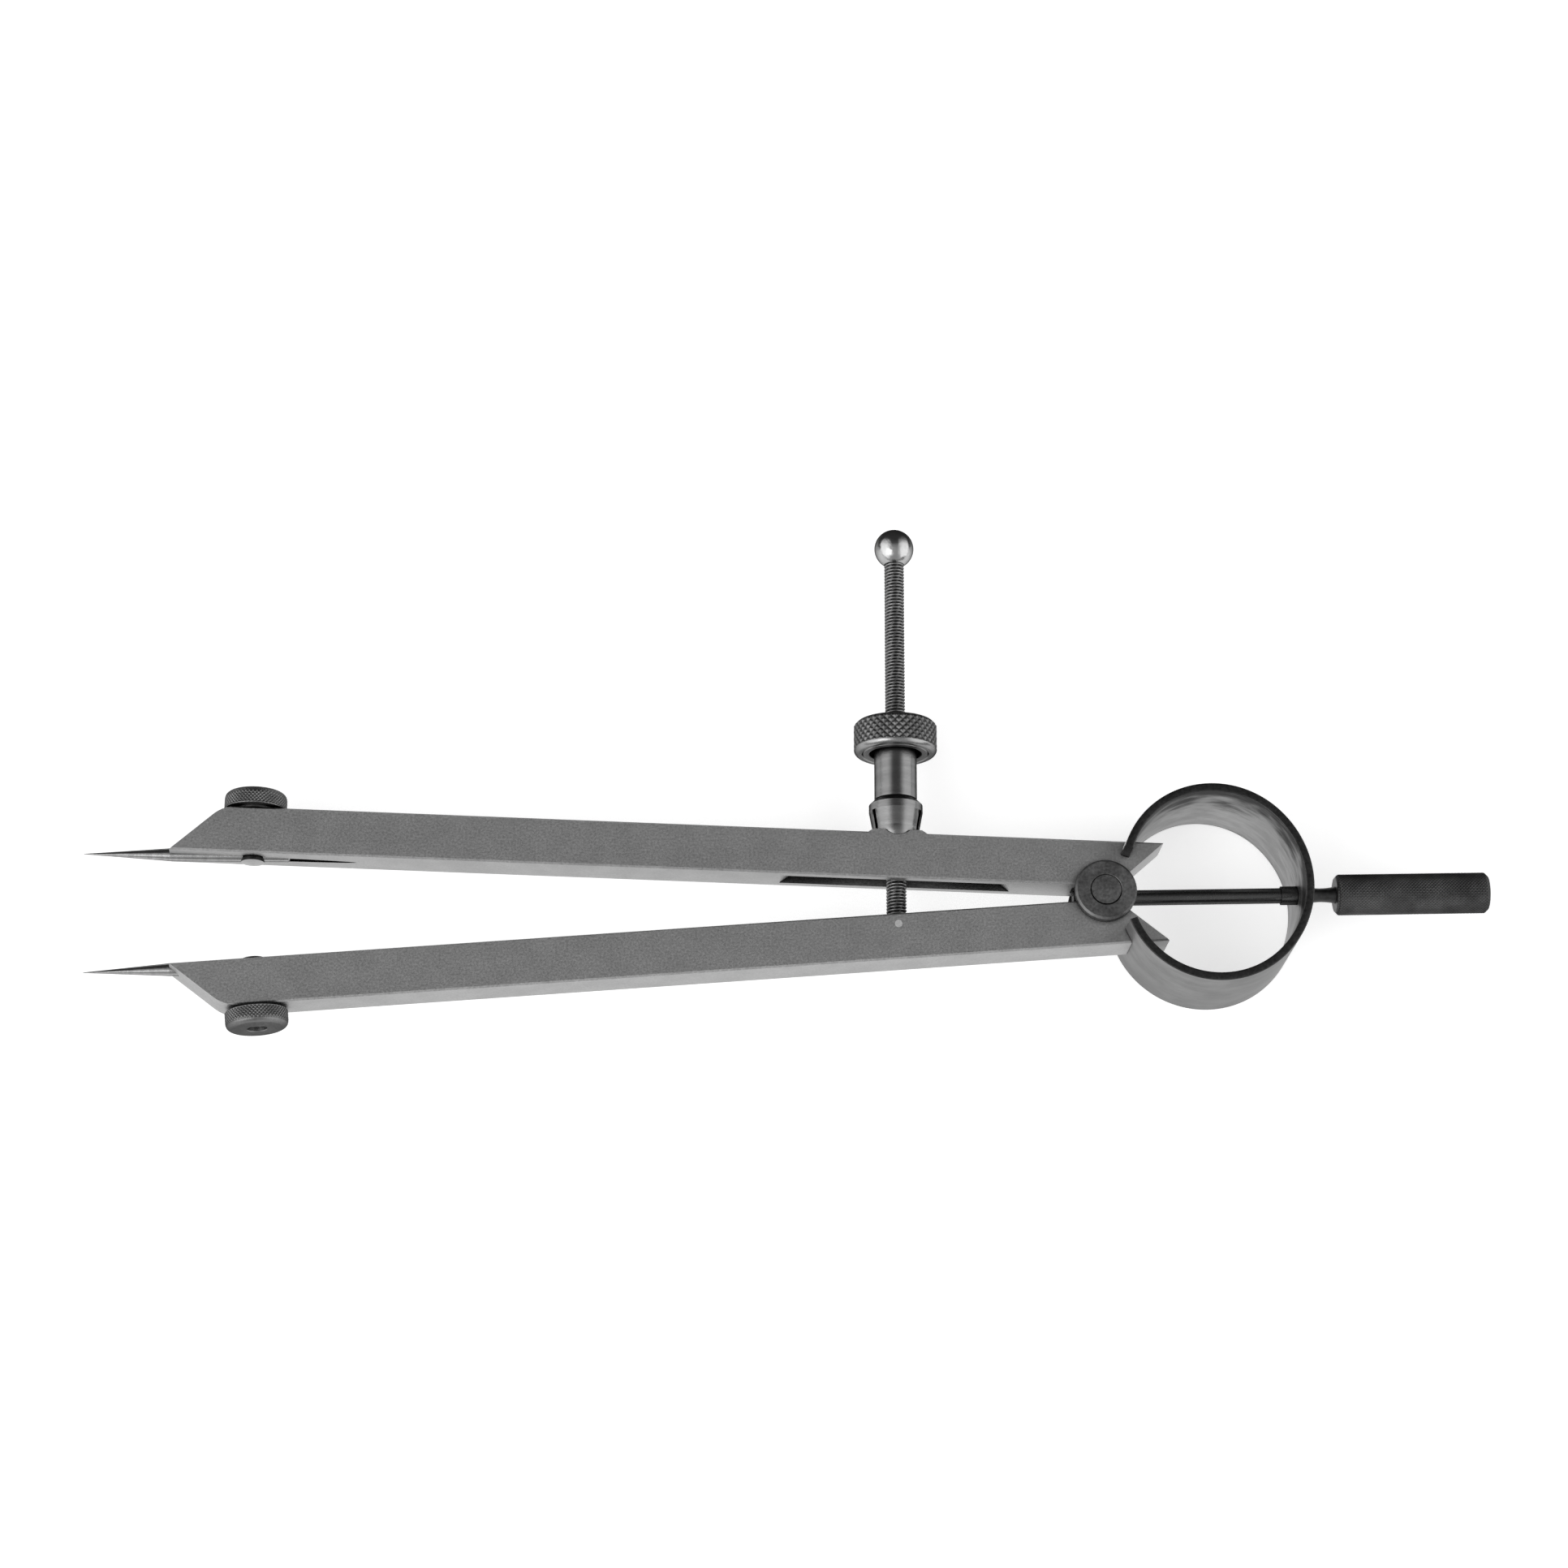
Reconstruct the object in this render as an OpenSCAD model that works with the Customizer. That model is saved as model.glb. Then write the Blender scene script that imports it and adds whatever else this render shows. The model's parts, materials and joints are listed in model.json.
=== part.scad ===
// Spring divider with flat legs, needle points, a bow spring and a quick-release adjusting nut
// Frame: pivot axis along Z, points towards -X, handle towards +X, adjusting screw towards +Y
// Origin: on the pivot axis, at the outer face of the rear fulcrum flange

/* [Legs] */
// Width of a leg, inner face to outer face
leg_w = 6.95; // [6.5:0.05:8]
// Thickness of a leg along the pivot axis
leg_t = 6.5; // [6:0.1:8]
// Pivot to the inner corner of the leg's end
leg_reach = 137.5; // [120:0.1:160]
// Distance of a leg's inner face from the centre line through the pivot
leg_gap = 1.05; // [0.95:0.05:1.4]
// Angle of each leg's inner face to the handle axis, as drawn
open_angle = 3.17; // [2.6:0.01:6]
// How much further each leg opens before its beak meets the stem
max_open = 20; // [10:0.5:20]
// Slope of the leg's end to its inner face
end_slope = 42.5; // [35:0.5:55]
// Radius between the leg's end and its outer face
end_round = 5; // [1:0.25:6]
// Pivot to the tip of the beak behind it
beak_len = 8.75; // [8.25:0.05:11]
// Slope of the beak's inner face
beak_slope = 41.5; // [39:0.1:46]
// Broken edge along the leg
edge_break = 0.25; // [0.1:0.05:0.5]

/* [Points] */
// Diameter of a needle point
point_d = 1.9; // [1.6:0.05:2.2]
// Whole length of a needle point
point_len = 30; // [27:0.5:36]
// Length of its cone
cone_len = 12.5; // [8:0.5:12.5]
// Diameter left at the very tip
tip_d = 0.1; // [0.05:0.05:0.3]
// Bevel at its back end
back_bevel = 0.2; // [0.1:0.05:0.3]
// Clamp axis to the tip
point_out = 24.6; // [21:0.1:27]
// Lean of the point towards the other leg
point_lean = 1.9; // [1.5:0.05:2.2]
// Depth of the point's axis below the leg's inner face, at the clamp
point_sink = 0.5; // [0.4:0.01:0.6]
// Length of the groove behind the clamp axis
groove_back = 15.5; // [15.5:0.5:20]

/* [Point clamps] */
// Leg's end to the clamp axis
clamp_setback = 12.1; // [10:0.1:15]
// Diameter of the eye head of the clamp stud
eye_d = 3.4; // [3.2:0.1:3.8]
// Wall of the eye above the point
eye_wall = 0.3; // [0.3:0.05:0.5]
// Height of the eye head
eye_h = 3.7; // [3.4:0.1:4]
// Crown radius of the eye head
eye_crown = 8; // [8:0.5:12]
// Diameter of the pocket round the eye head
pocket_d = 4; // [4:0.1:4.6]
// Diameter of the stud's thread
stud_d = 2.8; // [2.4:0.1:3]
// How far the stud's end lies below the nut's end
stud_recess = 0.6; // [0.1:0.1:0.8]
// Diameter of the clamp nut
clamp_nut_d = 9.2; // [8:0.1:11]
// Height of the clamp nut above its foot
clamp_nut_h = 2.6; // [2.4:0.05:4]
// Diameter of the nut's foot
foot_d = 6.4; // [5:0.1:7.6]
// Height of the nut's foot
foot_h = 0.3; // [0.2:0.05:0.6]
// Radius of the nut's outer edge
clamp_nut_round = 1; // [0.4:0.1:1.2]

/* [Fulcrum] */
// Diameter of the roller that the legs turn on
roller_d = 6; // [5.6:0.1:6.6]
// Diameter of the roller's riveted ends
rivet_d = 4.4; // [3.6:0.1:5]
// Diameter of the flanges
flange_d = 9.16; // [8.6:0.02:9.6]
// Thickness of a flange
flange_t = 1.4; // [1.2:0.1:2]
// Bevel on the flange's rim
flange_bevel = 0.3; // [0.1:0.05:0.5]
// Countersink round the roller's riveted ends
rivet_sink = 0.2; // [0.1:0.05:0.4]
// Diameter of the stem through the roller
stem_d = 2.3; // [2:0.01:2.4]
// How far the stem's tail stands out past the pivot axis
stem_tail = 4.4; // [4:0.1:5]
// Diameter of the stem's socket inside the spring
socket_d = 2.8; // [2.6:0.05:3.2]
// Length of the stem's socket
socket_len = 2.4; // [2.2:0.1:4]

/* [Bow spring] */
// Width of the spring strip
spring_w = 16.4; // [14:0.1:20]
// Thickness of the strip
spring_t = 1.2; // [1:0.05:1.4]
// Pivot to the outside of the crown
crown_x = 30.4; // [29:0.1:33]
// Outside radius of the crown
crown_r = 15.6; // [15:0.1:16.4]
// Outside radius of the two sides
side_r = 14; // [13.4:0.1:14.6]
// Half angle of the crown's arc
crown_angle = 45; // [35:1:50]
// Angle at which the strip ends in the leg's slot
strip_angle = 161; // [160:0.5:166]

/* [Handle] */
// Diameter of the neck's ends
neck_d = 2.54; // [2.4:0.02:3]
// Diameter of the neck's waist
waist_d = 2.06; // [2.02:0.02:2.3]
// Length of the neck
neck_len = 4.36; // [3:0.02:6]
// Diameter of the grip
grip_d = 6.1; // [5:0.1:8]
// Length of the grip
grip_len = 23; // [15:0.5:35]
// Bevel at the grip's ends
grip_bevel = 0.5; // [0.2:0.1:1]
// Diameter of the thread between handle and stem
joint_d = 1.6; // [1.4:0.05:1.8]
// Depth of that thread in the stem's socket
joint_depth = 1.8; // [1.4:0.1:2]

/* [Adjusting screw] */
// Diameter of the screw
screw_d = 3; // [2.6:0.1:3]
// Pin to the centre of the ball
screw_len = 60; // [56:0.1:70]
// Diameter of the ball
ball_d = 5.94; // [5.5:0.02:8]
// Depth of the ball's bore
ball_bore = 3.6; // [2.5:0.1:4]
// Pivot to the anchor pin, along the lower leg
pin_x = 31; // [29:0.05:33]
// Depth of the pin below the lower leg's inner face
pin_depth = 1.6; // [1.5:0.05:2]
// Diameter of the anchor pin
pin_d = 1.15; // [1:0.05:1.3]
// Radius of the cutter of the anchor slot
anchor_cutter_r = 8; // [6:0.5:10]

/* [Adjusting nut] */
// Pivot to the nut's seat, along the upper leg
seat_x = 30.8; // [29:0.05:33]
// Height of the raised seat on the leg's outer face
boss_h = 0.45; // [0.2:0.05:0.6]
// Length of the raised seat along the leg, at its top
boss_len = 7.2; // [6.4:0.1:8]
// Run of the raised seat's sloped ends
boss_run = 0.7; // [0.4:0.1:1]
// Radius of the seat at its rim
seat_r = 3.8; // [3.7:0.02:4]
// Half angle of the seat's cone
seat_angle = 35; // [33:0.5:38]
// Radius of the collet's ball nose
nose_r = 3.5; // [3.3:0.05:3.6]
// How far the nose goes below its centre
nose_depth = 2.4; // [2.2:0.05:2.5]
// Diameter of the collet's band
band_d = 8; // [7.6:0.05:8.4]
// Height of the taper between ball nose and band
taper_h = 2.65; // [2:0.05:3]
// Height of the band
band_h = 1.1; // [0.4:0.1:1.4]
// Diameter of the sleeve above the collet
sleeve_d = 6.34; // [6:0.02:6.6]
// Wall of the sleeve
sleeve_wall = 0.82; // [0.6:0.02:0.9]
// Nose centre to the underside of the knurled head
head_z = 11.85; // [9:0.05:14]
// Width of the collet's slits
slit_w = 0.65; // [0.3:0.05:0.8]
// Number of the collet's jaws
jaws = 3; // [2:1:6]
// Diameter of the knurled head
head_d = 12.4; // [10:0.1:16]
// Height of the knurled band
head_h = 3.6; // [3:0.1:6]
// Radius of the head's lower edge
under_round = 0.75; // [0.4:0.05:1]
// Bevel on the head's top edge
head_bevel = 0.45; // [0.2:0.05:0.8]
// Diameter of the recess round the sleeve
recess_d = 7.8; // [7.2:0.1:8.2]
// Depth of that recess
recess_h = 1.6; // [1:0.1:2]
// Thickness of the head's top wall
head_top = 1.2; // [0.8:0.1:1.6]
// Radius of the cutter of the long slot for the screw
slot_cutter_r = 28.5; // [24:0.5:34]
// Metal left between that slot and the leg's outer face
slot_floor = 1.25; // [1:0.05:1.3]

/* [Fits] */
// Radial clearance of pieces that turn or slide in each other
run_fit = 0.05; // [0.02:0.01:0.08]
// Radial clearance of pieces that are fixed in each other
fixed_fit = 0.02; // [0.01:0.01:0.03]
// Gap between flat faces that turn on each other
face_gap = 0.1; // [0.05:0.05:0.2]
// Clearance of the strip in the leg's slot
slot_fit = 0.05; // [0.03:0.01:0.1]
// Clearance between the collet's nose and its seat
seat_fit = 0.1; // [0.05:0.01:0.15]
// Radial clearance of the screw in the nut, the slots and the legs
screw_fit = 0.3; // [0.3:0.05:0.4]
// Gap that stays between stops
stop_gap = 0.3; // [0.2:0.05:0.4]
// Gap between a flat face and a curved one that it sits on
seat_gap = 0.1; // [0.05:0.01:0.15]

/* [Hidden] */
$fn = 96;

// Overlap that lets a cut run clear of a face
over = 1;
// How far a corner of an outline lies inside a cut that removes it
inset = 0.1;

// Heights along the pivot axis
roller_h = leg_t + 2 * face_gap;
mid_z = roller_h / 2 + flange_t;

// Leg outline
leg_out = leg_gap + leg_w;
notch_r = roller_d / 2 + run_fit;
notch_end = open_angle + max_open + asin((stem_d / 2 + stop_gap) / notch_r);
end_top = [-leg_reach + leg_w / tan(end_slope), leg_out];
round_run = end_round * tan(end_slope / 2);
beak_tip = [beak_len, leg_out];
rim_clear = (stem_d / 2 + stop_gap) / sin(beak_slope - open_angle - max_open);
beak_root = rim_clear * [cos(beak_slope), sin(beak_slope)];

// Point clamps, in the leg's frame
clamp_x = leg_reach - clamp_setback;
point_y = leg_gap + point_sink;
groove_r = point_d / 2 + run_fit;
eye_top = point_y - groove_r - eye_wall;
eye_end = eye_top + eye_h;
eye_pocket = eye_end + stop_gap;
nut_seat = leg_out + face_gap;
clamp_nut_end = nut_seat + foot_h + clamp_nut_h;

// Bow spring: crown arc about the handle axis, side arcs tangent to it
crown_cx = crown_x - crown_r;
side_shift = crown_r - side_r;
side_c = [crown_cx + side_shift * cos(crown_angle), side_shift * sin(crown_angle)];
crown_in = crown_x - spring_t;

// Adjusting screw: from the pin in the lower leg to the nut's seat in the upper leg
pin_y = leg_gap + pin_depth;
boss_top = leg_out + boss_h;
seat_drop = seat_r / tan(seat_angle);
nose_rise = (nose_r + seat_fit) / sin(seat_angle) - seat_drop;
pin_at = [
  -pin_x * cos(open_angle) + pin_y * sin(open_angle),
  -pin_x * sin(open_angle) - pin_y * cos(open_angle)
];
nose_at = [
  -seat_x * cos(open_angle) + (boss_top + nose_rise) * sin(open_angle),
  seat_x * sin(open_angle) + (boss_top + nose_rise) * cos(open_angle)
];
screw_lean = atan2(nose_at[0] - pin_at[0], nose_at[1] - pin_at[1]);
nose_z = norm(nose_at - pin_at);
screw_bore = screw_d / 2 + screw_fit;
slot_w = screw_d + 2 * screw_fit;
slot_depth = leg_w - slot_floor;
anchor_depth = pin_depth + screw_d / 2 + stop_gap;

// Adjusting nut, measured from the nose's centre
band_r = band_d / 2;
sleeve_r = sleeve_d / 2;
sleeve_bore = sleeve_r - sleeve_wall;
collet_stem_r = sleeve_bore - run_fit;
band_top = taper_h + band_h;
shoulder_z = band_top + band_r - sleeve_r;
knurl_z = head_z + under_round;
head_end = knurl_z + head_h + head_bevel;
sleeve_end = head_end - head_top;
collet_end = sleeve_end - face_gap;

// Colours as the photo shows them
satin_steel = "#8c8c8e";
dark_steel = "#4a4a4c";
bright_steel = "#b8b8ba";
blued_steel = "#5c5a5c";

// Frame of one leg: inner face towards -Y, points towards -X, pivot at the origin
module leg_frame(side) {
  translate([0, 0, mid_z])
    mirror([0, side > 0 ? 0 : 1, 0])
      rotate([0, 0, -open_angle])
        children();
}

// Frame of a point clamp: Z outwards through the leg
module clamp_frame() {
  translate([-clamp_x, 0, 0])
    rotate([-90, 0, 0])
      children();
}

// Frame of a needle point: Z from the clamp axis to the tip
module point_frame() {
  translate([-clamp_x, point_y, 0])
    rotate([0, 0, point_lean])
      rotate([0, -90, 0])
        children();
}

// Frame of the adjusting screw: Z from the anchor pin to the ball
module screw_frame() {
  translate([pin_at[0], pin_at[1], mid_z])
    rotate([0, 0, -screw_lean])
      rotate([-90, 0, 0])
        children();
}

// Frame of the adjusting nut: Z along the screw from the nose's centre
module nut_frame() {
  screw_frame()
    translate([0, 0, nose_z])
      children();
}

// Frame of the handle: Z along the stem, away from the points
module stem_frame() {
  translate([0, 0, mid_z])
    rotate([0, 90, 0])
      children();
}

// Part of a ring between two angles, each less than half a turn apart
module arc_band(outer, inner, from, to) {
  reach = 2 * outer;
  mid = (from + to) / 2;
  intersection() {
    difference() {
      circle(outer);
      circle(inner);
    }
    polygon([
      [0, 0],
      [reach * cos(from), reach * sin(from)],
      [reach * cos(mid), reach * sin(mid)],
      [reach * cos(to), reach * sin(to)]
    ]);
  }
}

// Outline of a leg with its notch for the roller and its beak
module leg_outline() {
  difference() {
    polygon([
      [-leg_reach, leg_gap],
      [0, leg_gap],
      (notch_r - inset) * [cos(notch_end), sin(notch_end)],
      beak_root,
      beak_tip,
      end_top
    ]);
    circle(notch_r);
    difference() {
      polygon([
        end_top - round_run * [cos(end_slope), sin(end_slope)],
        end_top + [0, over],
        end_top + [round_run, 0]
      ]);
      translate(end_top + [round_run, -end_round])
        circle(end_round);
    }
  }
}

// Broken edges along the four long corners of a leg
module leg_edges() {
  run = leg_reach + beak_len + 2 * over;
  side = edge_break * sqrt(2);
  for (y = [leg_gap, leg_out])
    for (z = [-leg_t / 2, leg_t / 2])
      translate([(beak_len - leg_reach) / 2, y, z])
        rotate([45, 0, 0])
          cube([run, side, side], center = true);
}

// Groove, eye pocket and stud hole for one point
module point_seat() {
  point_frame()
    translate([0, 0, -groove_back])
      cylinder(r = groove_r, h = groove_back + clamp_setback + 2 * over);
  clamp_frame() {
    translate([0, 0, leg_gap - over])
      cylinder(d = pocket_d, h = eye_pocket - leg_gap + over);
    cylinder(d = stud_d + 2 * run_fit, h = leg_out + over);
  }
}

// Room round the stem's tail between the legs
module stem_relief() {
  rotate([0, -90, 0])
    cylinder(r = stem_d / 2 + 2 * stop_gap, h = stem_tail + stop_gap);
}

// Leg blank with what both legs share
module leg_blank() {
  difference() {
    linear_extrude(leg_t, center = true)
      leg_outline();
    leg_edges();
    point_seat();
    stem_relief();
  }
}

// Slot in the leg that holds the end of the bow spring
module strip_slot(side) {
  translate([0, 0, mid_z])
    mirror([0, side > 0 ? 0 : 1, 0])
      translate([side_c[0], side_c[1], 0])
        linear_extrude(leg_t + 2 * over, center = true)
          arc_band(
            side_r + slot_fit,
            side_r - spring_t - slot_fit,
            crown_angle,
            strip_angle + slot_fit / side_r * 180 / PI
          );
}

// Raised seat with sloped ends on the leg's outer face
module seat_boss() {
  top = boss_len / 2;
  foot = top + boss_run;
  translate([-seat_x, leg_out, 0])
    linear_extrude(leg_t, center = true)
      polygon([
        [-foot, 0],
        [-foot, -leg_w / 2],
        [foot, -leg_w / 2],
        [foot, 0],
        [top, boss_h],
        [-top, boss_h]
      ]);
}

// Leg that carries the nut: long slot for the screw and conical seat
module upper_leg() {
  color(satin_steel)
    difference() {
      leg_frame(1)
        difference() {
          union() {
            leg_blank();
            seat_boss();
          }
          translate([-seat_x, leg_gap + slot_depth - slot_cutter_r, 0])
            cylinder(r = slot_cutter_r, h = slot_w, center = true, $fn = 180);
          translate([-seat_x, boss_top - seat_drop, 0])
            rotate([-90, 0, 0])
              cylinder(r1 = 0, r2 = seat_r + over * tan(seat_angle), h = seat_drop + over);
          translate([-seat_x, leg_gap, 0])
            rotate([-90, 0, 0])
              cylinder(r = screw_bore, h = leg_w + over);
        }
      strip_slot(1);
    }
}

// Leg that anchors the screw: short slot and hole for the anchor pin
module lower_leg() {
  color(satin_steel)
    difference() {
      leg_frame(-1)
        difference() {
          leg_blank();
          translate([-pin_x, leg_gap + anchor_depth - anchor_cutter_r, 0])
            cylinder(r = anchor_cutter_r, h = slot_w, center = true);
          translate([-pin_x, pin_y, 0])
            cylinder(d = pin_d + 2 * fixed_fit, h = leg_t + over, center = true);
        }
      strip_slot(-1);
    }
}

// Pin through the lower leg and the screw's eye
module screw_anchor_pin() {
  color(bright_steel)
    leg_frame(-1)
      translate([-pin_x, pin_y, 0])
        cylinder(d = pin_d, h = leg_t, center = true);
}

// Needle point: cone, shank and bevelled back end
module needle_point(side) {
  shank = point_len - cone_len;
  color(dark_steel)
    leg_frame(side)
      point_frame()
        translate([0, 0, point_out / cos(point_lean) - point_len]) {
          cylinder(d1 = point_d - 2 * back_bevel, d2 = point_d, h = back_bevel);
          translate([0, 0, back_bevel])
            cylinder(d = point_d, h = shank - back_bevel);
          translate([0, 0, shank])
            cylinder(d1 = point_d, d2 = tip_d, h = cone_len);
        }
}

module upper_point() {
  needle_point(1);
}

module lower_point() {
  needle_point(-1);
}

// Eye bolt that draws the point into its groove
module clamp_stud(side) {
  color(bright_steel)
    leg_frame(side)
      difference() {
        clamp_frame() {
          intersection() {
            translate([0, 0, eye_top])
              cylinder(d = eye_d, h = eye_h);
            translate([0, 0, eye_top + eye_crown])
              sphere(eye_crown);
          }
          translate([0, 0, eye_end])
            cylinder(d = stud_d, h = clamp_nut_end - stud_recess - eye_end);
        }
        point_frame()
          cylinder(r = groove_r, h = eye_d + 2 * over, center = true);
      }
}

module upper_clamp_stud() {
  clamp_stud(1);
}

module lower_clamp_stud() {
  clamp_stud(-1);
}

// Outline of half a clamp nut, with its foot and round outer edge
module clamp_nut_outline() {
  r = clamp_nut_d / 2;
  f = clamp_nut_round;
  square([foot_d / 2, foot_h]);
  translate([0, foot_h]) {
    square([r, clamp_nut_h - f]);
    square([r - f, clamp_nut_h]);
    translate([r - f, clamp_nut_h - f])
      circle(f);
  }
}

// Round clamp nut with a threaded hole right through
module clamp_nut(side) {
  color(dark_steel)
    leg_frame(side)
      clamp_frame()
        translate([0, 0, nut_seat])
          rotate_extrude()
            difference() {
              clamp_nut_outline();
              translate([-over, -over])
                square([over + stud_d / 2 + run_fit, foot_h + clamp_nut_h + 2 * over]);
            }
}

module upper_clamp_nut() {
  clamp_nut(1);
}

module lower_clamp_nut() {
  clamp_nut(-1);
}

// Barrel between the legs, with riveted ends and a cross hole for the stem
module fulcrum_roller() {
  color(dark_steel)
    difference() {
      translate([0, 0, mid_z]) {
        cylinder(d = roller_d, h = roller_h, center = true);
        cylinder(d = rivet_d, h = roller_h + 2 * flange_t, center = true);
      }
      stem_frame()
        cylinder(d = stem_d + 2 * fixed_fit, h = roller_d + 2 * over, center = true);
    }
}

// Round flange riveted on one end of the roller, bevelled outside
module flange(side) {
  r = flange_d / 2;
  bore = rivet_d / 2 + fixed_fit;
  color(dark_steel)
    translate([0, 0, mid_z])
      mirror([0, 0, side > 0 ? 0 : 1])
        translate([0, 0, roller_h / 2])
          rotate_extrude()
            polygon([
              [bore, 0],
              [r, 0],
              [r, flange_t - flange_bevel],
              [r - flange_bevel, flange_t],
              [bore + rivet_sink, flange_t],
              [bore, flange_t - rivet_sink]
            ]);
}

module front_flange() {
  flange(1);
}

module rear_flange() {
  flange(-1);
}

// Stem from the roller to the spring's crown, with a threaded socket
module fulcrum_stem() {
  socket_end = crown_in - seat_gap;
  color(dark_steel)
    stem_frame()
      difference() {
        union() {
          translate([0, 0, -stem_tail])
            cylinder(d = stem_d, h = stem_tail + socket_end);
          translate([0, 0, socket_end - socket_len])
            cylinder(d = socket_d, h = socket_len);
        }
        translate([0, 0, socket_end - joint_depth])
          cylinder(d = joint_d + 2 * fixed_fit, h = joint_depth + over);
      }
}

// Outline of half the handle: waisted neck and plain grip with bevelled ends
module handle_outline() {
  r = grip_d / 2;
  sag = (neck_d - waist_d) / 2;
  hollow = (neck_len * neck_len / 4 + sag * sag) / (2 * sag);
  difference() {
    square([neck_d / 2, neck_len]);
    translate([waist_d / 2 + hollow, neck_len / 2])
      circle(hollow);
  }
  translate([0, neck_len])
    polygon([
      [0, 0],
      [r - grip_bevel, 0],
      [r, grip_bevel],
      [r, grip_len - grip_bevel],
      [r - grip_bevel, grip_len],
      [0, grip_len]
    ]);
}

// Handle with the thread that clamps the spring's crown against the stem
module handle_grip() {
  joint_top = crown_in - joint_depth;
  color(dark_steel)
    stem_frame() {
      translate([0, 0, crown_x + seat_gap])
        rotate_extrude()
          handle_outline();
      translate([0, 0, joint_top])
        cylinder(d = joint_d, h = crown_x + seat_gap - joint_top + neck_len / 2);
    }
}

// Half of the strip's outline: half the crown and one side
module half_strip() {
  translate([crown_cx, 0])
    arc_band(crown_r, crown_r - spring_t, 0, crown_angle);
  translate(side_c)
    arc_band(side_r, side_r - spring_t, crown_angle, strip_angle);
}

// Bow spring: wide strip bent to a C, drilled at its crown for the handle's thread
module bow_spring() {
  color(blued_steel)
    difference() {
      translate([0, 0, mid_z])
        linear_extrude(spring_w, center = true) {
          half_strip();
          mirror([0, 1])
            half_strip();
        }
      stem_frame()
        translate([0, 0, crown_in - over])
          cylinder(d = joint_d + 2 * fixed_fit, h = spring_t + 2 * over);
    }
}

// Adjusting screw with the round eye at its foot
module adjusting_screw() {
  top = screw_len - ball_d / 2 + ball_bore - seat_gap;
  color(dark_steel)
    screw_frame()
      difference() {
        union() {
          sphere(d = screw_d);
          cylinder(d = screw_d, h = top);
        }
        rotate([90, 0, 0])
          cylinder(d = pin_d + 2 * run_fit, h = screw_d + 2 * over, center = true);
      }
}

// Polished ball on the screw's end
module screw_ball() {
  color(bright_steel)
    screw_frame()
      translate([0, 0, screw_len])
        difference() {
          sphere(d = ball_d);
          translate([0, 0, -ball_d / 2 - over])
            cylinder(d = screw_d + 2 * fixed_fit, h = ball_bore + over);
        }
}

// Outline of half the collet: ball nose, taper, band, shoulder and stem
module collet_outline() {
  intersection() {
    circle(nose_r);
    translate([0, -nose_depth])
      square([nose_r, nose_depth]);
  }
  polygon([
    [0, 0],
    [nose_r, 0],
    [band_r, taper_h],
    [band_r, band_top],
    [sleeve_r, shoulder_z],
    [collet_stem_r, shoulder_z],
    [collet_stem_r, collet_end],
    [0, collet_end]
  ]);
}

// Split collet: the nose rests in the leg's conical seat, the stem runs in the sleeve
module nut_collet() {
  color(bright_steel)
    nut_frame()
      difference() {
        rotate_extrude()
          difference() {
            collet_outline();
            translate([-over, -nose_depth - over])
              square([over + screw_bore, nose_depth + collet_end + 2 * over]);
          }
        for (i = [0 : jaws - 1])
          rotate([0, 0, 90 + 360 / jaws * i])
            translate([screw_bore - slit_w, -slit_w / 2, -nose_depth - over])
              cube([band_r, slit_w, nose_depth + over + taper_h]);
      }
}

// Sleeve fixed in the knurled head, turning on the collet's stem
module nut_sleeve() {
  foot = shoulder_z + face_gap;
  color(satin_steel)
    nut_frame()
      difference() {
        translate([0, 0, foot])
          cylinder(r = sleeve_r, h = sleeve_end - foot);
        cylinder(r = sleeve_bore, h = sleeve_end + over);
      }
}

// Outline of half the knurled head, solid: round lower edge, rim and bevelled top
module head_outline() {
  r = head_d / 2;
  translate([0, head_z])
    square([r - under_round, under_round]);
  translate([r - under_round, knurl_z])
    circle(under_round);
  translate([0, knurl_z])
    polygon([
      [0, 0],
      [r, 0],
      [r, head_h],
      [r - head_bevel, head_h + head_bevel],
      [0, head_h + head_bevel]
    ]);
}

// Knurled head on the sleeve, with its recess, sleeve bore and screw hole
module adjusting_nut() {
  color(dark_steel)
    nut_frame()
      rotate_extrude()
        difference() {
          head_outline();
          translate([-over, head_z - over]) {
            square([over + recess_d / 2, over + recess_h]);
            square([over + sleeve_r + fixed_fit, over + sleeve_end - head_z]);
            square([over + screw_bore, 2 * over + head_end - head_z]);
          }
        }
}

fulcrum_roller();
front_flange();
rear_flange();
fulcrum_stem();
handle_grip();
bow_spring();
upper_leg();
upper_clamp_stud();
upper_clamp_nut();
upper_point();
lower_leg();
lower_clamp_stud();
lower_clamp_nut();
lower_point();
screw_anchor_pin();
adjusting_screw();
screw_ball();
nut_collet();
nut_sleeve();
adjusting_nut();
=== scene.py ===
# %% [markdown]
# # A spring divider, dressed around its CAD frame
#
# A spring divider steps off distances with two needle points. A bow spring pushes the legs apart and a nut
# on a long screw holds them. The exact solids, with their joints, come from the CAD frame. This lesson adds
# what is too fine for the CAD model: threads, knurls, the soft edges of the spring and the steel finishes.

# %% Load the CAD frame
import json
import math

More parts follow.
